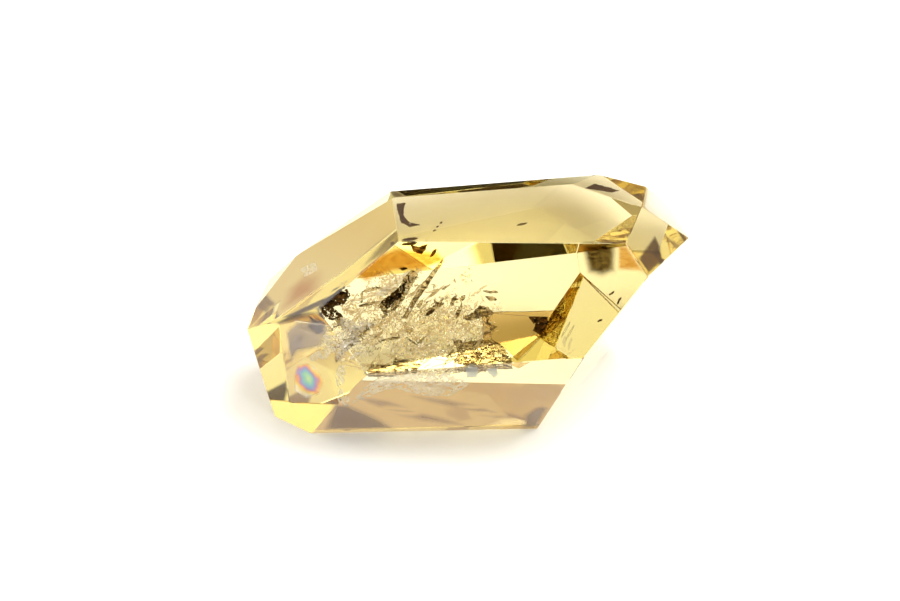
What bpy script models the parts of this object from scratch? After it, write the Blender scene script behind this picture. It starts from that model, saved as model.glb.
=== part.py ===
"""Citrine crystal point: a short quartz crystal, ground and polished, lying on one of its long faces.

The stone is one solid. It starts as a rough block, and every polished face is one flat cut, as a
lapidary makes it. A cut is given the way a faceting head is set:
  roll   turns the face round the stone's long axis: 0 faces up, 90 the front, 180 down, -90 the back
  lean   tips the face towards the tip (plus, at -X) or towards the sawn base (minus, at +X)
  reach  is the distance from the stone's heart to the face
The long axis runs along X. The resting face is at z = 0, and the origin is under the stone's middle.
"""

import math

import bmesh
import bpy
from mathutils import Vector

MM = 0.001

# Driving dimensions, in mm and degrees
HEART_HEIGHT = 12.0         # the heart above the resting face
ROUGH_SIZE = (90.0, 70.0, 60.0)
SIDE_STEP = 60.0            # quartz: one prism face to the next
TIP_LEAN = 38.0             # quartz: a prism face to the tip face above it

# The long faces of the prism: name, roll, lean, reach
PRISM_CUTS = (
    ("crown", -1.0, 1.0, 12.35),
    ("window", SIDE_STEP + 4.5, 3.5, 14.25),
    ("lower_front", 2 * SIDE_STEP + 2.5, -2.0, 13.0),
    ("rest", 180.0, 0.0, HEART_HEIGHT),
    ("lower_back", -2 * SIDE_STEP - 1.7, 21.4, 15.65),
    ("middle_back", -75.8, 21.0, 14.9),
    ("upper_back", -32.3, 5.6, 13.5),
)

# The tip at -X: two broad faces that lean as quartz grows, and the narrow ones that blunt the point
TIP_CUTS = (
    ("tip_top", 2.5, TIP_LEAN, 14.9),
    ("tip_front", 98.5, TIP_LEAN, 19.05),
    ("tip_blunt", 99.5, TIP_LEAN + 6.5, 20.25),
    ("tip_shoulder", 1.0, TIP_LEAN + 5.0, 16.1),
    ("tip_heel", 104.5, TIP_LEAN + 4.0, 20.35),
    ("tip_back", -37.6, 32.5, 15.5),
    ("tip_back_low", -7.0, 47.1, 17.35),
    ("tip_under", -139.3, 68.0, 22.75),
)

# The sawn base at +X, which leans out over the table, and the faces round it
BASE_CUTS = (
    ("base", 143.5, -51.0, 14.7),
    ("base_under", -158.2, -28.8, 19.05),
    ("base_back", -101.8, -62.7, 22.4),
    ("base_bevel", 13.5, -47.5, 22.5),
    ("base_corner", -4.5, -43.0, 22.1),
    ("back_shoulder", -56.0, -20.5, 20.9),
    ("back_taper", -SIDE_STEP, -10.1, 23.95),
)

# Narrow facets that soften the edges at the back of the crown and along the ridge of the tip
TRIM_CUTS = (
    ("crown_trim", -15.0, 3.0, 12.75),
    ("crown_corner", -9.5, -6.5, 14.35),
    ("back_corner", -47.0, -23.5, 19.85),
    ("shoulder_band", -12.0, 35.0, 15.1),
    ("tip_ridge", 50.5, 50.5, 20.9),
)

CITRINE_COLOUR = (0.87, 0.72, 0.27, 1.0)
CITRINE_IOR = 1.55
POLISH_ROUGHNESS = 0.02


def clear_scene():
    """Remove what the file opened with."""
    for old in list(bpy.data.objects):
        bpy.data.objects.remove(old, do_unlink=True)


def face_normal(roll, lean):
    """The way a cut faces, from its roll about the long axis and its lean towards the tip."""
    turn, tip = math.radians(roll), math.radians(lean)
    return Vector((-math.sin(tip), -math.cos(tip) * math.sin(turn), math.cos(tip) * math.cos(turn)))


def rough_block():
    """The uncut block, centred on the heart."""
    mesh = bmesh.new()
    bmesh.ops.create_cube(mesh, size=1.0)
    bmesh.ops.scale(mesh, vec=[side * MM for side in ROUGH_SIZE], verts=mesh.verts)
    return mesh


def cut(mesh, roll, lean, reach):
    """Grind the stone down to one plane and close the new face."""
    normal = face_normal(roll, lean)
    result = bmesh.ops.bisect_plane(
        mesh, geom=mesh.verts[:] + mesh.edges[:] + mesh.faces[:],
        plane_co=normal * reach * MM, plane_no=normal, clear_outer=True)
    rim = [item for item in result["geom_cut"] if isinstance(item, bmesh.types.BMEdge)]
    bmesh.ops.contextual_create(mesh, geom=rim)


def stand_on_rest_face(mesh):
    """Move the stone so that it rests at z = 0 with the origin under the middle of its box."""
    low = [min(vert.co[axis] for vert in mesh.verts) for axis in range(3)]
    high = [max(vert.co[axis] for vert in mesh.verts) for axis in range(3)]
    middle = Vector(((low[0] + high[0]) / 2, (low[1] + high[1]) / 2, low[2]))
    bmesh.ops.translate(mesh, vec=-middle, verts=mesh.verts)


def citrine():
    """Pale yellow quartz with a mirror polish."""
    material = bpy.data.materials.new("citrine")
    material.use_nodes = True
    shader = material.node_tree.nodes["Principled BSDF"]
    shader.inputs["Base Color"].default_value = CITRINE_COLOUR
    shader.inputs["Metallic"].default_value = 0.0
    shader.inputs["Roughness"].default_value = POLISH_ROUGHNESS
    shader.inputs["IOR"].default_value = CITRINE_IOR
    shader.inputs["Transmission Weight"].default_value = 1.0
    return material


def citrine_point():
    """The whole stone, one closed solid with flat faces."""
    stone = rough_block()
    for _, roll, lean, reach in PRISM_CUTS + TIP_CUTS + BASE_CUTS + TRIM_CUTS:
        cut(stone, roll, lean, reach)
    stand_on_rest_face(stone)
    bmesh.ops.recalc_face_normals(stone, faces=stone.faces)
    mesh = bpy.data.meshes.new("citrine_point")
    stone.to_mesh(mesh)
    stone.free()
    mesh.materials.append(citrine())
    obj = bpy.data.objects.new("citrine_point", mesh)
    bpy.context.scene.collection.objects.link(obj)
    return obj


clear_scene()
citrine_point()
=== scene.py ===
# %% [markdown]
# # A polished citrine point
# This lesson dresses one faceted solid as a real stone: a short quartz crystal, pale yellow and clear, whose
# inside is crowded with healed cracks. Everything added here lies inside that solid, so the stone keeps its
# size.

# %% Load the model
import math
import random

import bmesh
import bpy
import numpy
from mathutils import Matrix, Vector


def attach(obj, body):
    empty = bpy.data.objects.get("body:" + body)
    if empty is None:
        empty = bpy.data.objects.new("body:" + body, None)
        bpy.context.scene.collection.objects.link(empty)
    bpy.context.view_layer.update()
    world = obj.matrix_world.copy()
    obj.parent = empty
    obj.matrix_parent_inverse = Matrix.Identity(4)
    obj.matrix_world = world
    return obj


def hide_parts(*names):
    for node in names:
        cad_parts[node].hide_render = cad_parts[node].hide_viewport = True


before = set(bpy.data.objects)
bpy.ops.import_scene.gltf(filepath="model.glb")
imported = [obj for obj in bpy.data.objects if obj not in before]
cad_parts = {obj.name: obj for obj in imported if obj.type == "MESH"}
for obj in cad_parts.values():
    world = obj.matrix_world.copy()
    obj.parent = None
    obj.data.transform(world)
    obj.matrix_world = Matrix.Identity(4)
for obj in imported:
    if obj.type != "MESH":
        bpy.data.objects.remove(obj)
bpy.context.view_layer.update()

MM = 0.001

# %% [markdown]
# ## Helpers
# Colours are written as sRGB hex values, the way a colour picker shows them, and Blender's shaders work in
# linear light, so one function converts them. Another adds a shader or geometry node with its settings and
# links, which keeps each node tree as short as a recipe.

# %% Helpers for colours and nodes
def linear(hex_colour, brightness=1.0):
    """An sRGB hex colour such as 'e8c860' as linear RGBA, times a brightness where it is a light."""
    channels = [int(hex_colour[i:i + 2], 16) / 255 for i in (0, 2, 4)]
    light = [c / 12.92 if c <= 0.04045 else ((c + 0.055) / 1.055) ** 2.4 for c in channels]
    return tuple(c * brightness for c in light) + (1.0,)


def add_node(tree, kind, settings=None, inputs=None):
    """Add a node with its settings; an input takes a value, an output socket or a node (its first output)."""
    node = tree.nodes.new(kind)
    for name, value in (settings or {}).items():
        setattr(node, name, value)
    for key, value in (inputs or {}).items():
        if isinstance(value, bpy.types.Node):
            value = value.outputs[0]
        if isinstance(value, bpy.types.NodeSocket):
            tree.links.new(value, node.inputs[key])
        else:
            node.inputs[key].default_value = value
    return node


def new_material(name):
    """A node material with nothing in it."""
    material = bpy.data.materials.new(name)
    material.use_nodes = True
    material.node_tree.nodes.clear()
    return material


print("pale yellow in linear light:", [round(channel, 3) for channel in linear("f0dc90")])


# %% [markdown]
# ## Camera
# A long lens from a little more than a foot away keeps the facets close to parallel, as a close-up of a small
# stone does. The camera looks down by 27 degrees, square to the stone's long axis.

# %% Camera
LENS_MM = 135
CAMERA_HEIGHT = math.radians(27)
CAMERA_DISTANCE = 380 * MM
CAMERA_TARGET = Vector((-2.1, -3.9, 12.6)) * MM

camera = bpy.data.objects.new("camera", bpy.data.cameras.new("camera"))
camera.data.lens = LENS_MM
towards_camera = Vector((0, -math.cos(CAMERA_HEIGHT), math.sin(CAMERA_HEIGHT)))
camera.location = CAMERA_TARGET + towards_camera * CAMERA_DISTANCE
camera.rotation_euler = (math.radians(90) - CAMERA_HEIGHT, 0, 0)
bpy.context.scene.collection.objects.link(camera)
bpy.context.scene.camera = camera
print("camera at, mm:", [round(v / MM) for v in camera.location])

# %% [markdown]
# ## Light
# A clear stone shows what is around it: every facet is a small window or mirror. The studio is a white table
# in a pale room. Cards of light and dark stand round it, and it is the dark ones that draw the black and
# olive shapes inside the stone. A card is a soft round patch of sky, given by its bearing and height.

# %% Sky
scene = bpy.context.scene
world = bpy.data.worlds.new("studio")
scene.world = world
world.use_nodes = True
sky = world.node_tree
sky.nodes.clear()
direction = add_node(sky, "ShaderNodeTexCoord").outputs["Generated"]
ROOM = linear("fffdf6", 1.27)       # a lit white wall, a little brighter than paper
CARDS = [
    # name, bearing (0 is right, 90 is away from the camera), height, half width, soft edge, colour
    ("warm backdrop", 70, 6, 48, 8, linear("d6b59a")),
    ("warm wall on the right", -37, 17, 8, 4, linear("f1dfc5")),
    ("dark curtain on the left", -147, 36, 9, 4, linear("4a3826")),
    ("dark floor behind the table", 90, -9, 15, 5, linear("1a120a")),
    ("camera", -104, 29, 12, 3, linear("100c08")),
    ("dark doorway", -72, 8, 7, 3, linear("201810")),
    ("small softbox", -59, 44, 9, 2, linear("ffffff", 5.0)),
    ("large softbox", -4, 62, 19, 4, linear("fffcf8", 8.5)),
]
colour = ROOM
for name, bearing, height, half_width, soft, paint in CARDS:
    across, up = math.radians(bearing), math.radians(height)
    aim = Vector((math.cos(up) * math.cos(across), math.cos(up) * math.sin(across), math.sin(up)))
    outer = math.cos(math.radians(half_width + soft))
    inner = math.cos(math.radians(half_width - soft))
    nearness = add_node(sky, "ShaderNodeVectorMath", {"operation": "DOT_PRODUCT"}, {0: direction, 1: aim})
    share = add_node(sky, "ShaderNodeMapRange", {"interpolation_type": "SMOOTHSTEP", "label": name},
                     {"Value": nearness.outputs["Value"], "From Min": outer, "From Max": inner})
    mixed = add_node(sky, "ShaderNodeMix", {"data_type": "RGBA"}, {0: share, 6: colour, 7: paint})
    colour = mixed.outputs[2]
background = add_node(sky, "ShaderNodeBackground", inputs={"Color": colour, "Strength": 1.0})
add_node(sky, "ShaderNodeOutputWorld", inputs={"Surface": background})
print("cards of light and dark:", len(CARDS))

# %% [markdown]
# ## Picture settings
# Light crosses many facets and cracks before it leaves the stone, and a ray that runs out of bounces adds
# nothing. So the light is followed for more bounces than Blender's default settings allow.

# %% Picture settings
scene.view_settings.view_transform = "Standard"
scene.cycles.max_bounces = 32
scene.cycles.transmission_bounces = 28
scene.cycles.glossy_bounces = 24
scene.cycles.transparent_max_bounces = 48
scene.cycles.sample_clamp_indirect = 6.0
print("light bounces:", scene.cycles.max_bounces)

# %% [markdown]
# ## Table
# The table lies a twentieth of a millimetre under the stone. A surface that touches the resting facet would
# get no light there and would show through the stone as black. It ends behind the stone, because what lies
# beyond its edge is dark, and the stone shows that as its dark upper rim.

# %% Table
TABLE_GAP = 0.05 * MM
TABLE_WIDTH = 1200 * MM
TABLE_BACK = 160 * MM

table_mesh = bpy.data.meshes.new("table")
table_shape = bmesh.new()
bmesh.ops.create_grid(table_shape, x_segments=1, y_segments=1, size=TABLE_WIDTH / 2)
bmesh.ops.translate(table_shape, verts=table_shape.verts, vec=(0, TABLE_BACK - TABLE_WIDTH / 2, -TABLE_GAP))
table_shape.to_mesh(table_mesh)
table_shape.free()
table = bpy.data.objects.new("table", table_mesh)
scene.collection.objects.link(table)
# white lacquered board, sprayed and rubbed down: bright, with only a broad sheen
lacquer = new_material("white_lacquer")
board = add_node(lacquer.node_tree, "ShaderNodeBsdfPrincipled",
                 inputs={"Base Color": linear("f6f6f6"), "Roughness": 0.55})
add_node(lacquer.node_tree, "ShaderNodeOutputMaterial", inputs={"Surface": board})
table_mesh.materials.append(lacquer)
print("table reaches behind the stone, mm:", round(TABLE_BACK / MM))

# %% [markdown]
# ## Citrine
# Citrine is quartz coloured pale yellow by traces of iron. It bends light by 1.55, and its colour is in its
# body: the longer the path of the light through the stone, the deeper the yellow. So the surface is
# colourless and the volume absorbs blue.

# %% Citrine material
# quartz, ground flat and polished on a wheel: mirror-smooth facets, clear inside, yellow where it is thick
citrine = new_material("polished_citrine")
tree = citrine.node_tree
glass = add_node(tree, "ShaderNodeBsdfPrincipled",
                 inputs={"Base Color": linear("ffffff"), "Roughness": 0.0, "IOR": 1.55,
                         "Transmission Weight": 1.0})
depth_colour = add_node(tree, "ShaderNodeVolumeAbsorption",
                        inputs={"Color": linear("efe05b"), "Density": 29.0})
add_node(tree, "ShaderNodeOutputMaterial", inputs={"Surface": glass, "Volume": depth_colour})
print("citrine bends light by", glass.inputs["IOR"].default_value)

# %% [markdown]
# ## The stone
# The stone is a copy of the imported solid. Its loose triangles are merged into flat facets, and every edge
# gets a hair-thin bevel, because a wheel never leaves an edge perfectly sharp and that bevel catches light.

# %% Stone
EDGE_WIDTH = 0.07 * MM

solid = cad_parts["citrine_point"]
shape = bmesh.new()
shape.from_mesh(solid.data)
bmesh.ops.remove_doubles(shape, verts=shape.verts, dist=0.001 * MM)
bmesh.ops.dissolve_limit(shape, angle_limit=math.radians(0.5), verts=shape.verts, edges=shape.edges)
facets = [(face.normal.copy(), face.calc_center_median()) for face in shape.faces]
bmesh.ops.bevel(shape, geom=shape.edges, offset=EDGE_WIDTH, segments=1, affect="EDGES", profile=0.5)
stone_mesh = bpy.data.meshes.new("polished_stone")
shape.to_mesh(stone_mesh)
shape.free()
stone = bpy.data.objects.new("polished_stone", stone_mesh)
scene.collection.objects.link(stone)
stone_mesh.materials.append(citrine)
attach(stone, "root")
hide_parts("citrine_point")
print("facets:", len(facets), "faces with bevels:", len(stone_mesh.polygons))

# %% [markdown]
# ## Finding a place in the stone
# Every crack below is placed from the facet it is seen through, so each of those facets gets a frame of its
# own. The roll and the lean are those of the cut that made the facet.


# %% Facet frames
def facet_frame(roll, lean):
    """The frame of a facet: X along it, Y up it, Z out of the stone, its origin at the facet's middle."""
    turn, tip = math.radians(roll), math.radians(lean)
    facing = Vector((-math.sin(tip), -math.cos(tip) * math.sin(turn), math.cos(tip) * math.cos(turn)))
    normal, middle = max(facets, key=lambda facet: facet[0].dot(facing))
    along = Vector((0, 0, 1)).cross(normal) if abs(normal.z) < 0.9 else Vector((1, 0, 0))
    along.normalize()
    up = normal.cross(along)
    return Matrix.Translation(middle) @ Matrix((along, up, normal)).transposed().to_4x4()


def place(facet, across, up, depth, turn=(0, 0, 0)):
    """A frame this far across and up a facet, in mm, this deep under it, turned in degrees."""
    spin = Matrix.Translation(Vector((across, up, -depth)) * MM)
    for axis, angle in zip("XYZ", turn):
        spin = spin @ Matrix.Rotation(math.radians(angle), 4, axis)
    return facet @ spin


crown = facet_frame(-1, 1)
window = facet_frame(64.5, 3.5)
lower_front = facet_frame(122.5, -2)
tip_front = facet_frame(98.5, 38)
tip_top = facet_frame(2.5, 38)
base_bevel = facet_frame(13.5, -47.5)
print("window middle, mm:", [round(v / MM, 1) for v in window.translation])


# %% [markdown]
# ## Crack films
# Old cracks in quartz hold a film of air or water a few thousandths of a millimetre thick. Light that meets
# such a film at more than about 40 degrees is thrown back as by a mirror; light that meets it squarely goes
# straight through. So one crack is clear in one place and silver in the next, and that is what its material
# does: it mixes a mirror and plain transparency by how steeply it is seen. Iron that seeped into some of the
# cracks stains them brown, in streaks about a quarter of a millimetre wide.

# %% A film's edge
def faded(tree, surface):
    """Let a film thin out towards its edge, as its piece's 'fade' attribute says."""
    fade = add_node(tree, "ShaderNodeAttribute", {"attribute_name": "fade"}).outputs["Fac"]
    nothing = add_node(tree, "ShaderNodeBsdfTransparent", inputs={"Color": linear("ffffff")})
    return add_node(tree, "ShaderNodeMixShader", inputs={0: fade, 1: nothing, 2: surface})


# %% Crack films
FILM_LIMIT = 0.25               # 1 - cos of the angle where quartz turns to a mirror against air
STREAK = 0.25 * MM              # width of one streak of stain
STREAK_TURN = (0.0, 0.7, 0.3)
STREAK_STRETCH = (0.3, 1.0, 1.0)
STREAK_EDGE = (0.42, 0.58)      # noise values between which the stain gives way to a streak


def film(name, mirror, clear, streaks=None, roughness=0.04, start=FILM_LIMIT, soft=0.12, least=0.0,
         fades=False):
    """A thin film in the stone: clear where it is met squarely, a mirror where it is met at a slant."""
    material = new_material(name)
    tree = material.node_tree
    slant = add_node(tree, "ShaderNodeLayerWeight", inputs={"Blend": 0.5})
    share = add_node(tree, "ShaderNodeMapRange", {"interpolation_type": "SMOOTHSTEP"},
                     {"Value": slant.outputs["Facing"], "From Min": start - soft, "From Max": start + soft,
                      "To Min": least, "To Max": 1.0})
    tint = linear(clear)
    if streaks:
        spot = add_node(tree, "ShaderNodeTexCoord").outputs["Object"]
        grain = add_node(tree, "ShaderNodeMapping",
                         inputs={"Vector": spot, "Rotation": STREAK_TURN, "Scale": STREAK_STRETCH})
        noise = add_node(tree, "ShaderNodeTexNoise",
                         inputs={"Vector": grain, "Scale": 1 / STREAK, "Detail": 3.0, "Roughness": 0.6})
        edge = add_node(tree, "ShaderNodeMapRange", {"interpolation_type": "SMOOTHSTEP"},
                        {"Value": noise, "From Min": STREAK_EDGE[0], "From Max": STREAK_EDGE[1]})
        tint = add_node(tree, "ShaderNodeMix", {"data_type": "RGBA"},
                        {0: edge, 6: linear(clear), 7: linear(streaks)}).outputs[2]
    see_through = add_node(tree, "ShaderNodeBsdfTransparent", inputs={"Color": tint})
    silver = add_node(tree, "ShaderNodeBsdfGlossy", inputs={"Color": linear(mirror), "Roughness": roughness})
    mix = add_node(tree, "ShaderNodeMixShader", inputs={0: share, 1: see_through, 2: silver})
    add_node(tree, "ShaderNodeOutputMaterial", inputs={"Surface": faded(tree, mix) if fades else mix})
    return material


# air between two fresh faces of quartz: silver or clear, with no colour of its own
air_film = film("air_film_in_quartz", "ffffff", "fdfbf4")
# rust that seeped into a crack: crumpled brown with cream streaks and dull glints
stained_film = film("iron_stained_film", "d8ccb0", "4e3a24", streaks="f0e4c8", roughness=0.08, start=0.36,
                    soft=0.16, least=0.06)
# goethite, a nearly black iron ore: dark flakes and specks with a soft shine; on the dark rims of cracks the
# same film is painted shade
dark_film = film("goethite_and_rim_shade_film", "5a482e", "140c06", streaks="6a4e2c", roughness=0.2, start=0.3, soft=0.2,
                 least=0.1)
# a thicker flat film of old brine: a calm olive mirror
olive_film = film("thick_olive_film", "ffffff", "dcc494", start=0.4, soft=0.1)
# painted shade: a brown film with no shine that darkens what is seen through it, standing in for darker
# surroundings seen through the stone
painted_shade_film = film("painted_shade_film", "c8b080", "483a20", streaks="70603c", roughness=0.15, start=0.6, soft=0.2,
                  fades=True)
# a deeper yellow growth zone: a warm tint
amber_film = film("amber_film", "ffe0a0", "cc9c5c", streaks="dcb478", roughness=0.1, start=0.6, soft=0.2,
                  fades=True)
print("films:", [material.name for material in bpy.data.materials if "film" in material.name])

# %% [markdown]
# Where a crack has closed again it is left as a veil of tiny bubbles. Such a veil scatters light instead of
# mirroring it, so it looks white against the dark and grey against the light.

# %% Veils of bubbles
SCATTERED_BACK = 0.5    # share of the scattered light that a veil sends back, the rest goes on


def haze(name, tint, veil, share, shine=0.3, fades=True):
    """A veil of tiny bubbles: part of the light is scattered, the rest goes through with a tint."""
    material = new_material(name)
    tree = material.node_tree
    through = add_node(tree, "ShaderNodeBsdfTransparent", inputs={"Color": linear(tint)})
    powder = add_node(tree, "ShaderNodeBsdfTranslucent", inputs={"Color": linear(veil)})
    glint = add_node(tree, "ShaderNodeBsdfGlossy", inputs={"Color": linear(veil), "Roughness": shine})
    white = add_node(tree, "ShaderNodeMixShader", inputs={0: SCATTERED_BACK, 1: powder, 2: glint})
    mix = add_node(tree, "ShaderNodeMixShader", inputs={0: share, 1: through, 2: white})
    add_node(tree, "ShaderNodeOutputMaterial", inputs={"Surface": faded(tree, mix) if fades else mix})
    return material


# crushed quartz in a crack: sparkling white frost, and cream where the stone around it is stained
frosted_film = haze("frosted_film", "ffffff", "ffffff", 0.6, shine=0.12, fades=False)
cream_film = haze("cream_frosted_film", "ffffff", "fff0cc", 0.55, shine=0.12, fades=False)
# healed cracks, too fine to see as such: soft grey and bluish clouding, and milky streaks that are painted
# reflection of the grain of wood near the stone
painted_reflection_haze = haze("painted_reflection_haze", "c0b0b4", "f0ecf4", 0.2)
grey_haze = haze("grey_haze", "9a92a0", "e8e4ee", 0.22)
blue_haze = haze("blue_grey_haze", "b0bcd0", "dce6f4", 0.45)
hazes = (frosted_film, cream_film, painted_reflection_haze, grey_haze, blue_haze)
print("veils of bubbles:", [material.name for material in hazes])

# %% [markdown]
# One thin crack near the tip shows a rainbow: its film is as thin as the light's own wavelength and grows
# thicker outwards, so each colour gets a ring. A ramp over the distance from its middle gives the same rings.

# %% Rainbow film
RAINBOW_AT = place(tip_front, -0.9, -0.3, 0.6)
RAINBOW_REACH = 2.7 * MM
RIPPLE = 0.7            # how far the rings wander, as a share of the rainbow's reach
SHEEN = 0.6             # share of the light that the film throws back
RINGS = [(0.0, "c8ecb8"), (0.2, "98dcc8"), (0.36, "8cc0f0"), (0.5, "b894dc"), (0.64, "f4b078"),
         (0.8, "fae488"), (1.0, "fffcf0")]

rainbow_film = new_material("interference_film")
tree = rainbow_film.node_tree
spot = add_node(tree, "ShaderNodeTexCoord").outputs["Object"]
ripple = add_node(tree, "ShaderNodeTexNoise", inputs={"Vector": spot, "Scale": 1 / (1.5 * MM), "Detail": 2.0})
from_middle = add_node(tree, "ShaderNodeVectorMath", {"operation": "DISTANCE"},
                       {0: spot, 1: RAINBOW_AT.translation}).outputs["Value"]
far = add_node(tree, "ShaderNodeMath", {"operation": "DIVIDE"}, {0: from_middle, 1: RAINBOW_REACH})
wobble = add_node(tree, "ShaderNodeMath", {"operation": "MULTIPLY_ADD"}, {0: ripple, 1: RIPPLE, 2: far})
ring = add_node(tree, "ShaderNodeMath", {"operation": "SUBTRACT"}, {0: wobble, 1: RIPPLE / 2})
ramp = add_node(tree, "ShaderNodeValToRGB", inputs={"Fac": ring})
for number, (position, hex_colour) in enumerate(RINGS):
    stop = ramp.color_ramp.elements[number] if number < 2 else ramp.color_ramp.elements.new(position)
    stop.position = position
    stop.color = linear(hex_colour)
through = add_node(tree, "ShaderNodeBsdfTransparent", inputs={"Color": ramp})
sheen = add_node(tree, "ShaderNodeBsdfGlossy", inputs={"Color": ramp, "Roughness": 0.35})
mix = add_node(tree, "ShaderNodeMixShader", inputs={0: SHEEN, 1: through, 2: sheen})
add_node(tree, "ShaderNodeOutputMaterial", inputs={"Surface": faded(tree, mix)})
print("rings of colour:", len(RINGS))


# %% [markdown]
# ## Growing cracks with Geometry Nodes
# There are thousands of small cracks, so node trees grow them. A tree has named inputs for its sizes and its
# seed. Each piece runs a tree once, keeps the result as a plain mesh and moves it to its place.

# %% Running a tree
def new_tree(name, sockets):
    """A geometry tree with named inputs; returns the tree and its inputs' sockets by name."""
    tree = bpy.data.node_groups.new(name, "GeometryNodeTree")
    for label, kind in sockets.items():
        tree.interface.new_socket(name=label, in_out="INPUT", socket_type="NodeSocket" + kind)
    tree.interface.new_socket(name="Result", in_out="OUTPUT", socket_type="NodeSocketGeometry")
    source = add_node(tree, "NodeGroupInput")
    return tree, {label: source.outputs[label] for label in sockets}


SKIN = 0.1 * MM         # clear quartz left between a crack and the surface


def keep_inside(mesh):
    """Cut off what would leave the stone, which is convex: a point inside it lies behind every facet."""
    normals = numpy.array([normal for normal, middle in facets])
    levels = numpy.array([normal.dot(middle) for normal, middle in facets])
    points = numpy.empty(len(mesh.vertices) * 3, dtype=numpy.float32)
    mesh.vertices.foreach_get("co", points)
    outside = (points.reshape(-1, 3) @ normals.T > levels - SKIN).any(axis=1)
    shape = bmesh.new()
    shape.from_mesh(mesh)
    shape.verts.ensure_lookup_table()
    bmesh.ops.delete(shape, geom=[shape.verts[i] for i in numpy.flatnonzero(outside)], context="VERTS")
    shape.to_mesh(mesh)
    shape.free()


def grow(name, tree, values, spot, outlines=()):
    """Run a geometry tree on some outlines, keep the result as a plain mesh and move it to its place."""
    corners = [Vector((x, y, 0)) * MM for outline in outlines for x, y in outline]
    faces = []
    for outline in outlines:
        first = sum(len(face) for face in faces)
        faces.append(range(first, first + len(outline)))
    seed_mesh = bpy.data.meshes.new(name + "_seed")
    seed_mesh.from_pydata(corners, [], faces)
    piece = bpy.data.objects.new(name, seed_mesh)
    scene.collection.objects.link(piece)
    modifier = piece.modifiers.new("grow", "NODES")
    modifier.node_group = tree
    for item in tree.interface.items_tree:
        if item.in_out == "INPUT" and item.name in values:
            modifier[item.identifier] = values[item.name]
    bpy.context.view_layer.update()
    evaluated = piece.evaluated_get(bpy.context.evaluated_depsgraph_get())
    mesh = bpy.data.meshes.new_from_object(evaluated)
    piece.modifiers.remove(modifier)
    mesh.transform(spot)
    keep_inside(mesh)
    mesh.name = name
    piece.data = mesh
    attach(piece, "root")
    print(name, "faces:", len(mesh.polygons))


# %% [markdown]
# A crack that ends inside the stone has a fine dark line along its edge, where it closes and bends the light
# away. This step turns the open edges of a sheet into thin three-sided wires and joins them to it; a dark
# film on the wires is painted shade for that line.

# %% Dark rims
def with_rim(tree, sheet, size):
    """Coat a sheet with its film and add a thin dark wire along its open edges."""
    neighbours = add_node(tree, "GeometryNodeInputMeshEdgeNeighbors")
    open_edge = add_node(tree, "FunctionNodeCompare", {"data_type": "INT", "operation": "EQUAL"},
                         {2: neighbours, 3: 1})
    line = add_node(tree, "GeometryNodeMeshToCurve", inputs={"Mesh": sheet, "Selection": open_edge})
    wire = add_node(tree, "GeometryNodeCurvePrimitiveCircle", {"mode": "RADIUS"},
                    {"Resolution": 3, "Radius": size["Rim"]})
    rim = add_node(tree, "GeometryNodeCurveToMesh", inputs={"Curve": line, "Profile Curve": wire})
    inked = add_node(tree, "GeometryNodeSetMaterial",
                     inputs={"Geometry": rim, "Material": size["Rim material"]})
    coated = add_node(tree, "GeometryNodeSetMaterial",
                      inputs={"Geometry": sheet, "Material": size["Material"]})
    joined = add_node(tree, "GeometryNodeJoinGeometry", inputs={0: coated})
    tree.links.new(inked.outputs[0], joined.inputs[0])
    add_node(tree, "NodeGroupOutput", inputs={0: joined})


# %% [markdown]
# ### Shattered clouds
# Where the stone was struck as it grew it is full of small shards of crack, each with its own tilt. They are
# scattered points with a small ragged disc on each one, left out where a noise says that the quartz is clear.

# %% Shard cloud tree
SLIVER = (1.5, 0.5, 1.0)    # a shard's length and width, against its radius
SHARD_CORNERS = 5
THINNING = -0.35            # lowers the clump noise from a cloud's middle out to its edge
RARITY = 2.5                # makes most shards small and a few large
DENTS_PER_RADIUS = 1.2      # against the largest shard's radius, as is the next value
DENT_DEPTH = 1.4

shards, size = new_tree("shard_cloud", {
    "Count": "Int", "Half size": "Vector", "Smallest": "Float", "Largest": "Float", "Tilt": "Float",
    "Clump size": "Float", "Clump share": "Float", "Seed": "Int", "Material": "Material"})
chance = add_node(shards, "FunctionNodeRandomValue", {"data_type": "FLOAT_VECTOR"},
                  {0: (-1, -1, -1), 1: (1, 1, 1), "Seed": size["Seed"]})
reach = add_node(shards, "ShaderNodeVectorMath", {"operation": "MULTIPLY"}, {0: chance, 1: size["Half size"]})
points = add_node(shards, "GeometryNodePoints", inputs={"Count": size["Count"], "Position": reach})
here = add_node(shards, "GeometryNodeInputPosition")
per_clump = add_node(shards, "ShaderNodeMath", {"operation": "DIVIDE"}, {0: 1.0, 1: size["Clump size"]})
clump = add_node(shards, "ShaderNodeTexNoise", {"noise_dimensions": "4D"},
                 {"Vector": here, "W": size["Seed"], "Scale": per_clump, "Detail": 1.0})
inside = add_node(shards, "ShaderNodeVectorMath", {"operation": "DIVIDE"}, {0: here, 1: size["Half size"]})
ball = add_node(shards, "ShaderNodeVectorMath", {"operation": "LENGTH"}, {0: inside}).outputs["Value"]
crowd = add_node(shards, "ShaderNodeMath", {"operation": "MULTIPLY_ADD"}, {0: ball, 1: THINNING, 2: clump})
thin_out = add_node(shards, "ShaderNodeMath", {"operation": "LESS_THAN"}, {0: crowd, 1: size["Clump share"]})
kept = add_node(shards, "GeometryNodeDeleteGeometry", {"domain": "POINT"},
                {"Geometry": points, "Selection": thin_out})
disc = add_node(shards, "GeometryNodeMeshCircle", {"fill_type": "TRIANGLE_FAN"},
                {"Vertices": SHARD_CORNERS, "Radius": 1.0})
second_seed = add_node(shards, "ShaderNodeMath", {"operation": "ADD"}, {0: size["Seed"], 1: 1.0})
turn = add_node(shards, "FunctionNodeRandomValue", {"data_type": "FLOAT_VECTOR"},
                {0: (-1, -1, -math.pi), 1: (1, 1, math.pi), "Seed": second_seed})
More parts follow.
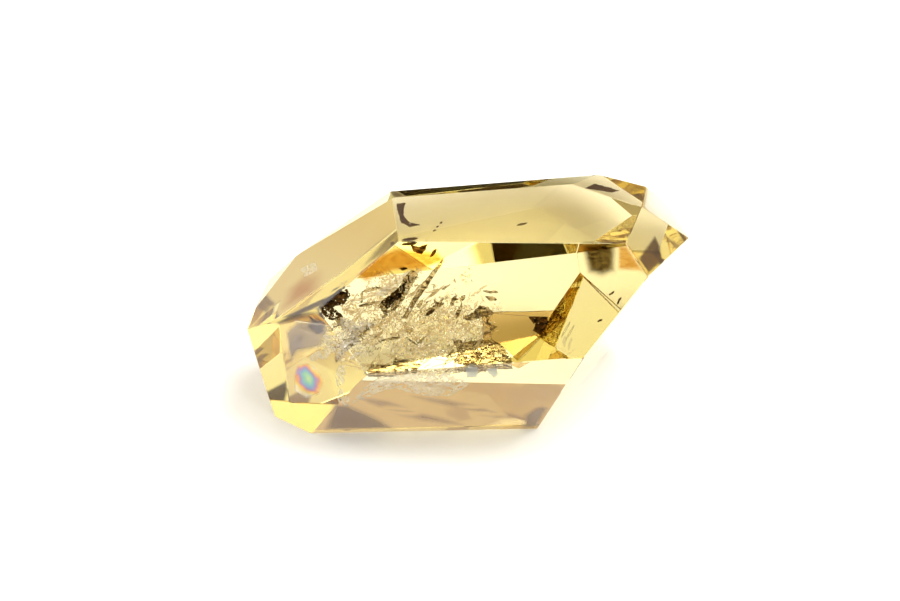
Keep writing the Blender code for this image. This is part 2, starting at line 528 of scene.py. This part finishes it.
lean = add_node(shards, "ShaderNodeCombineXYZ", inputs={0: size["Tilt"], 1: size["Tilt"], 2: 1.0})
angle = add_node(shards, "ShaderNodeVectorMath", {"operation": "MULTIPLY"}, {0: turn, 1: lean})
third_seed = add_node(shards, "ShaderNodeMath", {"operation": "ADD"}, {0: size["Seed"], 1: 2.0})
any_size = add_node(shards, "FunctionNodeRandomValue", {"data_type": "FLOAT"}, {"Seed": third_seed})
few_large = add_node(shards, "ShaderNodeMath", {"operation": "POWER"}, {0: any_size.outputs[1], 1: RARITY})
radius = add_node(shards, "ShaderNodeMapRange",
                  inputs={"Value": few_large, "To Min": size["Smallest"], "To Max": size["Largest"]})
scale = add_node(shards, "ShaderNodeVectorMath", {"operation": "SCALE"}, {0: SLIVER, "Scale": radius})
placed = add_node(shards, "GeometryNodeInstanceOnPoints",
                  inputs={"Points": kept, "Instance": disc, "Rotation": angle, "Scale": scale})
whole = add_node(shards, "GeometryNodeRealizeInstances", inputs={0: placed})
per_dent = add_node(shards, "ShaderNodeMath", {"operation": "DIVIDE"},
                    {0: DENTS_PER_RADIUS, 1: size["Largest"]})
dents = add_node(shards, "ShaderNodeTexNoise", inputs={"Vector": here, "Scale": per_dent, "Detail": 3.0})
centred = add_node(shards, "ShaderNodeVectorMath", {"operation": "SUBTRACT"},
                   {0: dents.outputs[1], 1: (0.5, 0.5, 0.5)})
strength = add_node(shards, "ShaderNodeMath", {"operation": "MULTIPLY"}, {0: size["Largest"], 1: DENT_DEPTH})
push = add_node(shards, "ShaderNodeVectorMath", {"operation": "SCALE"}, {0: centred, "Scale": strength})
bent = add_node(shards, "GeometryNodeSetPosition", inputs={"Geometry": whole, "Offset": push})
coated = add_node(shards, "GeometryNodeSetMaterial", inputs={"Geometry": bent, "Material": size["Material"]})
add_node(shards, "NodeGroupOutput", inputs={0: coated})
print("nodes in the shard tree:", len(shards.nodes))

# %% [markdown]
# ### Crushed sheets
# Bigger cracks run through the cloud as crushed sheets. A sheet is a fine grid whose height follows flat
# cells of two sizes, each with its own slope and step, and which is torn open where a noise is low.

# %% Crushed sheet tree
CELL_SIZES = (1.0, 0.3)     # the two sizes of cell, against the facet size
FRAYING = -7.2              # lowers the tear noise towards a sheet's edge, so that the edge is torn away
FRAY_POWER = 4.0            # leaves the middle alone: the tearing sets in late on the way out

sheets, size = new_tree("crushed_sheet", {
    "Length": "Float", "Width": "Float", "Grain": "Float", "Facet": "Float", "Tilt": "Float", "Step": "Float",
    "Tear size": "Float", "Tear share": "Float", "Rim": "Float", "Seed": "Int", "Material": "Material",
    "Rim material": "Material"})
columns = add_node(sheets, "ShaderNodeMath", {"operation": "DIVIDE"}, {0: size["Length"], 1: size["Grain"]})
rows = add_node(sheets, "ShaderNodeMath", {"operation": "DIVIDE"}, {0: size["Width"], 1: size["Grain"]})
grid = add_node(sheets, "GeometryNodeMeshGrid",
                inputs={"Size X": size["Length"], "Size Y": size["Width"], "Vertices X": columns,
                        "Vertices Y": rows})
here = add_node(sheets, "GeometryNodeInputPosition")
shift = add_node(sheets, "ShaderNodeCombineXYZ", inputs={2: size["Seed"]})
moved = add_node(sheets, "ShaderNodeVectorMath", {"operation": "ADD"}, {0: here, 1: shift})
height = 0.0
for share in CELL_SIZES:
    cell_size = add_node(sheets, "ShaderNodeMath", {"operation": "MULTIPLY"}, {0: size["Facet"], 1: share})
    per_cell = add_node(sheets, "ShaderNodeMath", {"operation": "DIVIDE"}, {0: 1.0, 1: cell_size})
    cell = add_node(sheets, "ShaderNodeTexVoronoi", {"voronoi_dimensions": "3D"},
                    {"Vector": moved, "Scale": per_cell})
    offset = add_node(sheets, "ShaderNodeVectorMath", {"operation": "SUBTRACT"},
                      {0: moved, 1: cell.outputs["Position"]})
    slope = add_node(sheets, "ShaderNodeVectorMath", {"operation": "SUBTRACT"},
                     {0: cell.outputs["Color"], 1: (0.5, 0.5, 0.5)})
    rise = add_node(sheets, "ShaderNodeVectorMath", {"operation": "DOT_PRODUCT"}, {0: offset, 1: slope})
    tilted = add_node(sheets, "ShaderNodeMath", {"operation": "MULTIPLY_ADD"},
                      {0: rise.outputs["Value"], 1: size["Tilt"], 2: height})
    level = add_node(sheets, "ShaderNodeSeparateXYZ", inputs={0: slope}).outputs[2]
    step = add_node(sheets, "ShaderNodeMath", {"operation": "MULTIPLY"}, {0: size["Step"], 1: share})
    height = add_node(sheets, "ShaderNodeMath", {"operation": "MULTIPLY_ADD"}, {0: level, 1: step, 2: tilted})
lift = add_node(sheets, "ShaderNodeCombineXYZ", inputs={2: height})
raised = add_node(sheets, "GeometryNodeSetPosition", inputs={"Geometry": grid, "Offset": lift})
per_tear = add_node(sheets, "ShaderNodeMath", {"operation": "DIVIDE"}, {0: 1.0, 1: size["Tear size"]})
tear = add_node(sheets, "ShaderNodeTexNoise", {"noise_dimensions": "4D"},
                {"Vector": here, "W": size["Seed"], "Scale": per_tear, "Detail": 4.0, "Roughness": 0.6})
span = add_node(sheets, "ShaderNodeCombineXYZ", inputs={0: size["Length"], 1: size["Width"], 2: 1.0})
share_out = add_node(sheets, "ShaderNodeVectorMath", {"operation": "DIVIDE"}, {0: here, 1: span})
way_out = add_node(sheets, "ShaderNodeVectorMath", {"operation": "LENGTH"}, {0: share_out}).outputs["Value"]
steep = add_node(sheets, "ShaderNodeMath", {"operation": "POWER"}, {0: way_out, 1: FRAY_POWER})
strength = add_node(sheets, "ShaderNodeMath", {"operation": "MULTIPLY_ADD"}, {0: steep, 1: FRAYING, 2: tear})
torn = add_node(sheets, "ShaderNodeMath", {"operation": "LESS_THAN"}, {0: strength, 1: size["Tear share"]})
ragged = add_node(sheets, "GeometryNodeDeleteGeometry", {"domain": "POINT"},
                  {"Geometry": raised, "Selection": torn})
with_rim(sheets, ragged, size)
print("nodes in the sheet tree:", len(sheets.nodes))

# %% [markdown]
# ### Flakes
# The cracks with a shape of their own start from outlines drawn on the facet they are seen through. The tree
# divides the outline finely, crumples it, frays its edge and tears small holes in it.

# %% Flake tree
flakes, size = new_tree("torn_flake", {
    "Outline": "Geometry", "Detail": "Int", "Crumple": "Float", "Wrinkle": "Float", "Fray": "Float",
    "Torn": "Float", "Rim": "Float", "Seed": "Int", "Material": "Material", "Rim material": "Material"})
cut = add_node(flakes, "GeometryNodeTriangulate", inputs={0: size["Outline"]})
fine = add_node(flakes, "GeometryNodeSubdivideMesh", inputs={"Mesh": cut, "Level": size["Detail"]})
here = add_node(flakes, "GeometryNodeInputPosition")
per_wrinkle = add_node(flakes, "ShaderNodeMath", {"operation": "DIVIDE"}, {0: 1.0, 1: size["Wrinkle"]})
wrinkles = add_node(flakes, "ShaderNodeTexNoise", {"noise_dimensions": "4D"},
                    {"Vector": here, "W": size["Seed"], "Scale": per_wrinkle, "Detail": 5.0,
                     "Roughness": 0.7})
centred = add_node(flakes, "ShaderNodeVectorMath", {"operation": "SUBTRACT"},
                   {0: wrinkles.outputs[1], 1: (0.5, 0.5, 0.5)})
amount = add_node(flakes, "ShaderNodeCombineXYZ",
                  inputs={0: size["Fray"], 1: size["Fray"], 2: size["Crumple"]})
push = add_node(flakes, "ShaderNodeVectorMath", {"operation": "MULTIPLY"}, {0: centred, 1: amount})
holes = add_node(flakes, "ShaderNodeTexNoise", {"noise_dimensions": "4D"},
                 {"Vector": here, "W": size["Seed"], "Scale": per_wrinkle, "Detail": 3.0, "Roughness": 0.7,
                  "Distortion": 1.0})
torn = add_node(flakes, "ShaderNodeMath", {"operation": "LESS_THAN"}, {0: holes, 1: size["Torn"]})
open_sheet = add_node(flakes, "GeometryNodeDeleteGeometry", {"domain": "POINT"},
                      {"Geometry": fine, "Selection": torn})
crumpled = add_node(flakes, "GeometryNodeSetPosition", inputs={"Geometry": open_sheet, "Offset": push})
with_rim(flakes, crumpled, size)
print("nodes in the flake tree:", len(flakes.nodes))

# %% [markdown]
# ### Veils
# A veil has no edge of its own: it thins out. Its tree stores on every point how far in from the outline it
# lies, as the attribute 'fade' that the veil's material reads.

# %% Veil tree
veils, size = new_tree("soft_veil", {
    "Outline": "Geometry", "Detail": "Int", "Fade": "Float", "Material": "Material"})
cut = add_node(veils, "GeometryNodeTriangulate", inputs={0: size["Outline"]})
fine = add_node(veils, "GeometryNodeSubdivideMesh", inputs={"Mesh": cut, "Level": size["Detail"]})
from_edge = add_node(veils, "GeometryNodeProximity", {"target_element": "EDGES"}, {0: size["Outline"]})
fade = add_node(veils, "ShaderNodeMapRange", {"interpolation_type": "SMOOTHSTEP"},
                {"Value": from_edge.outputs["Distance"], "From Max": size["Fade"]})
marked = add_node(veils, "GeometryNodeStoreNamedAttribute", {"data_type": "FLOAT", "domain": "POINT"},
                  {"Geometry": fine, "Name": "fade", "Value": fade})
coated = add_node(veils, "GeometryNodeSetMaterial", inputs={"Geometry": marked, "Material": size["Material"]})
add_node(veils, "NodeGroupOutput", inputs={0: coated})
print("nodes in the veil tree:", len(veils.nodes))

# %% [markdown]
# ## The cracks in this stone
# Three clear clouds fill the left half of the window, from the tip's edge to past the middle, and a stained
# one runs through them. Pale clouds of finer shards lie above and in front. Sizes are in millimetres.

# %% Clouds
CLOUDS = [
    # name, shards, half size, largest shard, share left clear, place in the window, film, seed
    ("cloud_left", 6500, (5.5, 4.2, 2.0), 0.26, 0.28, (-10.6, -2.4, 3.4, (20, 0, 25)), air_film, 3),
    ("cloud_middle", 9500, (7.0, 4.8, 2.2), 0.30, 0.28, (-4.2, -2.0, 4.0, (20, 0, 15)), air_film, 4),
    ("cloud_right", 3500, (4.0, 2.6, 1.2), 0.26, 0.32, (1.8, -1.4, 3.2, (10, 0, 0)), air_film, 6),
    ("cloud_stain", 1800, (8.0, 4.6, 1.6), 0.24, 0.34, (-7.0, -2.2, 3.0, (20, 0, 20)), stained_film, 12),
    ("cloud_top", 4000, (5.0, 2.0, 1.4), 0.24, 0.28, (-9.2, 1.0, 2.6, (20, 0, 28)), cream_film, 14),
    ("cloud_frost", 6000, (8.5, 4.6, 1.5), 0.20, 0.32, (-6.5, -2.4, 2.4, (20, 0, 20)), cream_film, 8),
    ("cloud_frost_tip", 5000, (4.0, 2.6, 0.8), 0.22, 0.26, (-13.2, -4.4, 1.6, (20, 0, 20)), frosted_film, 11),
]
for name, count, half_size, largest, clear_share, where, film_kind, seed in CLOUDS:
    grow(name, shards,
         {"Count": count, "Half size": Vector(half_size) * MM, "Smallest": 0.05 * MM, "Largest": largest * MM,
          "Tilt": 0.9, "Clump size": 1.6 * MM, "Clump share": clear_share, "Seed": seed,
          "Material": film_kind},
         place(window, *where))

# %% [markdown]
# Three crushed sheets carry the long glints through the clouds, one deep, one low and one towards the tip.

# %% Sheets
SHEETS = [
    # name, length, width, size of a facet, tilt, share torn away, place in the window, seed
    ("sheet_deep", 19, 8, 1.0, 1.5, 0.40, (-3.5, -3.2, 6.0, (25, 0, 5)), 5),
    ("sheet_low", 13, 5, 0.7, 1.8, 0.44, (-4.0, -5.6, 3.2, (50, 0, 3)), 7),
    ("sheet_tip", 9, 6, 0.8, 1.6, 0.44, (-12.0, -4.5, 4.0, (30, -35, 0)), 9),
]
# the dark rims of the sheets are painted shade along the line where a crack closes
for name, length, width, facet_size, tilt, tear_share, where, seed in SHEETS:
    grow(name, sheets,
         {"Length": length * MM, "Width": width * MM, "Grain": 0.12 * MM, "Facet": facet_size * MM,
          "Tilt": tilt, "Step": 0.4 * MM, "Tear size": 2.0 * MM, "Tear share": tear_share,
          "Rim": 0.018 * MM, "Seed": seed, "Material": air_film, "Rim material": dark_film},
         place(window, *where))


# %% [markdown]
# The other cracks are drawn one by one. A small scratch or fleck is a spindle: a thin outline with two
# pointed ends. Bigger ones are outlines of their own, in millimetres along and up their facet.

# %% Spindles
SPINDLE_CORNERS = 12


def spindle(across, up, length, width, turn):
    """A thin outline with pointed ends, centred at a place on a facet and turned in degrees."""
    c, s = math.cos(math.radians(turn)), math.sin(math.radians(turn))
    outline = []
    for step in range(SPINDLE_CORNERS):
        angle = math.tau * step / SPINDLE_CORNERS
        x, y = length / 2 * math.cos(angle), width / 2 * math.sin(angle) * abs(math.sin(angle)) ** 0.5
        outline.append((across + x * c - y * s, up + x * s + y * c))
    return outline


print("corners of a spindle:", len(spindle(0, 0, 1, 0.3, 0)))

# %% Outlines on the crown, the tip and the base
CROWN_MARK = [(-11.9, 3.2), (-10.9, 3.4), (-11.1, 1.5), (-11.1, 0.0), (-10.5, -1.7), (-9.3, -2.5),
              (-10.3, -3.0), (-11.3, -1.9), (-11.7, 1.0)]
CROWN_SPECKS = [spindle(-12.4, -6.5, 1.2, 0.9, 20), spindle(-10.3, -6.2, 1.9, 0.8, 15),
                spindle(-7.6, -4.0, 0.6, 0.3, 60), spindle(-7.3, -3.0, 0.5, 0.3, 80),
                spindle(-6.9, -2.0, 0.6, 0.25, 70), spindle(2.0, -2.6, 1.4, 0.5, 30)]
CORNER_BLOB = [(9.2, 6.4), (11.0, 9.6), (13.1, 9.8), (13.7, 7.3), (12.2, 5.7)]
# painted shade: this wedge darkens part of the tip, standing in for darker surroundings seen through it
TIP_WEDGE = [(2.7, -9.3), (4.4, -6.0), (5.9, -2.5), (7.5, 0.7), (8.6, -0.3), (7.5, -3.1), (5.8, -6.1)]
TIP_STAIN = [(3.0, -8.6), (-2.6, -7.0), (-3.4, -3.0), (0.0, -0.4), (5.4, -0.6), (5.0, -4.5)]
TIP_PATCH = [(-4.6, -4.3), (-3.3, -2.2), (-0.9, -1.8), (-1.7, -3.7)]
TIP_VEIL = [(-3.7, 5.3), (-1.6, 7.5), (2.0, 8.7), (3.9, 8.4), (1.7, 4.5), (-1.7, 2.8), (-3.4, 0.3)]
RAINBOW = [(-3.3, -2.9), (-3.2, -0.8), (-2.4, 1.2), (-0.6, 2.2), (1.0, 1.7), (1.8, 0.4), (0.8, -1.8),
           (-1.4, -3.2)]
FEATHERS = [spindle(-2.5, 3.7, 3.5, 1.2, 55), spindle(1.9, 4.6, 4.0, 1.6, 65),
            spindle(3.7, 1.6, 3.6, 1.3, 70), spindle(3.4, -1.5, 2.6, 1.0, 80),
            spindle(0.4, 3.0, 2.6, 0.9, 40)]
# painted shade: this patch darkens part of the base bevel, standing in for darker surroundings seen through
# it
BEVEL_PATCH = [(-6.4, 0.4), (-6.9, -1.9), (-1.7, -3.1), (0.5, -2.0), (1.6, -0.7)]
print("corners of the rainbow:", len(RAINBOW), "and feathers beside it:", len(FEATHERS))

# %% Outlines in the left half of the window
TIP_SMUDGE = [(-16.0, -1.6), (-15.4, -0.6), (-14.0, 0.5), (-13.1, 1.0), (-12.6, 0.4), (-13.2, -0.6),
              (-14.2, -1.0), (-13.4, -2.1), (-14.8, -2.5)]
STROKES = [(-12.5, -3.5), (-10.3, -2.5), (-10.0, -3.0), (-11.4, -4.2), (-13.1, -6.0), (-13.7, -6.4),
           (-12.7, -4.9)]
LOW_BAND = [(-10.7, -8.2), (-10.2, -7.2), (-7.9, -7.1), (-7.5, -6.4), (-6.0, -6.6), (-4.7, -7.0),
            (-5.0, -7.5), (-6.8, -8.0), (-8.6, -8.2)]
BLADE = [(-9.6, -0.7), (-8.8, 0.1), (-7.5, 1.0), (-6.8, 2.6), (-6.0, 3.3), (-5.4, 2.8), (-6.1, 1.4),
         (-6.9, -0.1), (-7.9, -1.1), (-8.9, -1.7)]
BLADE_CORE = [(-9.4, -0.4), (-8.2, 0.6), (-7.0, 1.6), (-6.2, 2.7), (-6.6, 1.2), (-7.4, 0.0), (-8.6, -1.0)]
BLADE_BACK = [(-10.4, 0.3), (-8.7, 1.6), (-6.9, 2.9), (-6.1, 3.4), (-6.5, 2.6), (-7.7, 1.3), (-9.1, 0.3)]
BLADE_EDGE = [(-6.9, -2.0), (-6.1, -0.3), (-4.7, 2.0), (-3.5, 3.6), (-2.5, 4.9), (-2.9, 3.8), (-4.1, 1.9),
              (-5.5, -0.3), (-6.5, -2.1)]
AMBER_PATCH = [(-12.5, 2.5), (-10.4, 4.7), (-7.6, 5.8), (-3.0, 5.5), (-2.1, 4.2), (-5.1, 3.1),
               (-7.8, 3.0), (-11.0, 1.6)]
WINDOW_BLOB = [(-6.2, 6.0), (-5.4, 5.8), (-4.4, 6.1), (-4.6, 5.5), (-5.0, 5.0), (-5.9, 5.3)]
print("corners of the blade:", len(BLADE), "and of its dark core:", len(BLADE_CORE))

# %% Outlines in the right half of the window, and the specks all over it
BROWN_FLAKE = [(-1.4, -4.2), (0.0, -4.4), (1.6, -4.2), (3.1, -4.2), (4.3, -4.9), (5.0, -5.9), (5.2, -6.6),
               (3.8, -6.5), (2.5, -6.9), (0.3, -7.1), (-1.1, -6.7), (-0.8, -5.6)]
RIDGE = [(-0.5, -1.8), (0.7, -1.2), (1.5, -0.4), (2.3, -0.5), (3.1, -1.2), (1.9, -1.6), (0.4, -2.1)]
OLIVE_SHEET = [(1.7, -1.2), (3.6, -1.0), (6.9, -0.9), (9.7, -0.7), (10.7, -1.6), (9.4, -3.0), (8.0, -3.8),
               (6.8, -5.1), (5.7, -6.3), (4.6, -5.2), (3.5, -4.5), (2.0, -4.4)]
TONGUE = [(2.5, -1.1), (4.2, -1.3), (6.9, -1.4), (8.9, -1.4), (9.8, -2.0), (10.4, -2.4), (11.0, -1.7),
          (10.2, -0.8), (9.4, -0.7), (6.9, -0.9), (4.2, -1.0)]
FINGERS = [spindle(10.0 + 0.45 * number, -2.0 - 0.35 * number, 1.9, 0.16, 62) for number in range(4)]
TRIANGLE = [(6.8, -1.5), (8.9, -1.4), (8.9, -2.3), (8.1, -3.4), (7.3, -2.9), (7.6, -2.4)]
RIBBON = [(7.4, -3.3), (8.1, -3.8), (7.0, -5.1), (5.9, -6.3), (5.6, -6.0), (6.5, -4.6)]
WINDOW_SPECKS = [spindle(-3.7, 5.2, 1.1, 0.35, 55), spindle(-6.9, 3.4, 0.9, 0.3, 0),
                 spindle(-3.9, -1.3, 1.2, 0.4, 35), spindle(15.8, 1.4, 0.7, 0.2, 40),
                 spindle(16.6, 0.6, 0.9, 0.2, 60), spindle(14.6, -1.6, 0.6, 0.2, 30)]
# painted shade: this patch stands in for the darker table behind the stone, seen through the window
PAINTED_SHADE_PATCH = [(12.0, 6.9), (14.0, 7.3), (16.4, 7.1), (16.4, 3.6), (14.7, 2.9), (12.9, 3.3), (12.4, 5.0)]
OLIVE_PATCH = [(16.1, 6.8), (17.4, 6.8), (19.8, 3.4), (18.7, 3.7), (16.2, 3.8)]
print("specks in the window:", len(WINDOW_SPECKS), "and fingers of the tongue:", len(FINGERS))

# %% Outlines along the lower front
FROST = [(-10.8, -1.2), (-9.2, 2.6), (-7.7, 4.6), (-5.5, 5.1), (-3.3, 5.1), (-0.6, 5.4), (2.2, 2.6),
         (0.1, 0.0), (-2.7, 0.1), (-5.9, 2.0), (-7.7, 1.4), (-9.2, -0.1)]
# painted reflection: these streaks stand in for the grain of wood near the stone, seen in the lower front
LOW_STREAKS = [spindle(-2.5, -4.6, 11.0, 2.6, -24), spindle(0.5, -1.6, 12.0, 2.4, -24),
               spindle(5.5, -4.2, 9.0, 2.6, -22), spindle(-7.0, -1.4, 8.0, 2.6, -30)]
LOW_VEIL = [(-14.4, -7.4), (-13.0, -0.5), (-10.8, -1.1), (-7.7, -4.0), (-5.2, -7.4)]
CORNER_VEIL = [(7.9, -7.9), (8.1, -4.2), (9.4, -2.4), (10.8, -2.0), (11.5, -2.9), (10.4, -7.8)]
BLUE_LEFT = [(1.3, 6.5), (2.3, 7.1), (3.2, 6.8), (3.3, 5.5), (3.0, 4.2), (1.7, 4.2)]
BLUE_RIGHT = [(3.6, 6.4), (5.2, 6.8), (5.5, 5.0), (4.9, 3.7), (4.0, 5.1)]
print("streaks along the lower front:", len(LOW_STREAKS))

# %% [markdown]
# The clouds are also threaded by fine fibres and pale curls, more than a hundred of them. On average they run
# the same way, so their places, lengths and turns are drawn at random round one direction.

# %% Fibres and curls
dice = random.Random(5)
FIBRES = [spindle(dice.uniform(-14, 3), dice.uniform(-7, 1.5), dice.uniform(0.8, 2.6),
                  dice.uniform(0.15, 0.4), dice.gauss(30, 30)) for _ in range(36)]
CURLS = [spindle(dice.uniform(-14, 2), dice.uniform(-7.5, 1.5), dice.uniform(0.8, 3.0),
                 dice.uniform(0.12, 0.35), dice.gauss(35, 35)) for _ in range(90)]
print("fibres and curls:", len(FIBRES) + len(CURLS))

# %% [markdown]
# Each flake then gets its facet, its depth under it in millimetres, how strongly it is crumpled and torn,
# and its film.

# %% Flakes
FINE, COARSE = 5, 3     # how many times a face is divided: often in big flakes, less in many small spindles
FEW = 4                 # up to this many outlines in a piece are divided finely

FLAKES = [
    # name, facet, depth, outlines, crumple, size of a wrinkle, fray, share torn away, film
    ("crown_mark", crown, 1.0, [CROWN_MARK], 0.8, 0.6, 0.7, 0.36, dark_film),
    ("crown_specks", crown, 1.0, CROWN_SPECKS, 0.4, 0.3, 0.3, 0.30, dark_film),
    ("corner_blob", crown, 0.5, [CORNER_BLOB], 0.3, 0.8, 0.4, 0.30, dark_film),
    ("blade", window, 2.0, [BLADE], 1.6, 0.6, 0.8, 0.38, stained_film),
    ("blade_core", window, 1.6, [BLADE_CORE], 1.0, 0.5, 0.9, 0.42, dark_film),
    ("blade_back", window, 2.3, [BLADE_BACK], 0.8, 0.8, 0.5, 0.30, frosted_film),
    ("blade_edge", window, 1.8, [BLADE_EDGE], 0.9, 0.7, 0.3, 0.30, stained_film),
    ("tip_smudge", window, 1.2, [TIP_SMUDGE], 1.2, 0.6, 0.8, 0.40, dark_film),
    ("tip_patch", tip_top, 0.8, [TIP_PATCH], 0.4, 0.6, 0.5, 0.40, frosted_film),
    ("tip_feathers", tip_front, 1.5, FEATHERS, 1.0, 0.7, 0.9, 0.42, frosted_film),
    ("strokes", window, 3.0, [STROKES], 1.4, 0.5, 1.0, 0.44, stained_film),
    ("cloud_fibres", window, 2.6, FIBRES, 1.6, 0.9, 0.7, 0.30, stained_film),
    ("cloud_curls", window, 2.0, CURLS, 1.4, 0.9, 0.7, 0.30, cream_film),
    ("low_band", window, 1.2, [LOW_BAND], 1.0, 0.6, 0.8, 0.38, stained_film),
    ("brown_flake", window, 2.5, [BROWN_FLAKE], 1.8, 0.6, 0.8, 0.38, stained_film),
    ("ridge", window, 2.0, [RIDGE], 1.2, 0.4, 0.6, 0.36, stained_film),
    ("olive_sheet", window, 3.0, [OLIVE_SHEET], 0.2, 3.0, 0.2, 0.15, olive_film),
    ("tongue", window, 2.8, [TONGUE] + FINGERS, 0.3, 1.2, 0.1, 0.20, air_film),
    ("triangle", window, 2.6, [TRIANGLE], 0.4, 0.8, 0.3, 0.30, dark_film),
    ("ribbon", window, 2.7, [RIBBON], 0.3, 1.0, 0.2, 0.20, air_film),
    ("window_blob", window, 0.8, [WINDOW_BLOB] + WINDOW_SPECKS, 0.3, 0.5, 0.4, 0.30, dark_film),
    ("frost", lower_front, 1.0, [FROST], 1.0, 0.8, 1.2, 0.42, frosted_film),
]
for name, facet, depth, outlines, crumple, wrinkle, fray, holed, film_kind in FLAKES:
    detail = FINE if len(outlines) <= FEW else COARSE
    # dark rims are painted shade along the line where a crack closes
    rim_kind = film_kind if film_kind in (frosted_film, cream_film) else dark_film
    grow(name, flakes,
         {"Detail": detail, "Crumple": crumple * MM, "Wrinkle": wrinkle * MM, "Fray": fray * MM,
          "Torn": holed, "Rim": 0.02 * MM, "Seed": 1, "Material": film_kind, "Rim material": rim_kind},
         place(facet, 0, 0, depth), outlines)

# %% [markdown]
# The veils have no edge of their own: they thin out over the distance given as their fade. They lie close
# under the surface, so they stay where they are seen.

# %% Veils
VEILS = [
    # name, facet, depth, outlines, fade, film
    ("amber_patch", window, 0.6, [AMBER_PATCH], 0.6, amber_film),
    # painted shade: a dark sheet standing in for the darker table behind the stone, seen through the window
    ("painted_shade_patch", window, 0.6, [PAINTED_SHADE_PATCH], 1.0, painted_shade_film),
    ("olive_patch", window, 0.6, [OLIVE_PATCH], 0.6, amber_film),
    # painted shade: a dark sheet darkening part of the base bevel
    ("bevel_patch", base_bevel, 0.5, [BEVEL_PATCH], 0.5, painted_shade_film),
    # painted shade: a dark sheet darkening part of the tip
    ("tip_wedge", tip_top, 0.8, [TIP_WEDGE], 0.5, painted_shade_film),
    ("tip_stain", tip_top, 0.8, [TIP_STAIN], 3.5, amber_film),
    ("tip_veil", tip_front, 0.5, [TIP_VEIL], 0.8, grey_haze),
    ("rainbow", tip_front, 0.6, [RAINBOW], 0.5, rainbow_film),
    # painted reflection: streaks standing in for wood grain seen in the lower front
    ("low_streaks", lower_front, 0.6, LOW_STREAKS, 1.4, painted_reflection_haze),
    ("low_veil", lower_front, 0.5, [LOW_VEIL], 1.2, grey_haze),
    ("corner_veil", lower_front, 0.5, [CORNER_VEIL], 1.2, grey_haze),
    ("blue_veils", lower_front, 0.6, [BLUE_LEFT, BLUE_RIGHT], 0.5, blue_haze),
]
for name, facet, depth, outlines, fade_out, film_kind in VEILS:
    grow(name, veils, {"Detail": 4, "Fade": fade_out * MM, "Material": film_kind},
         place(facet, 0, 0, depth), outlines)
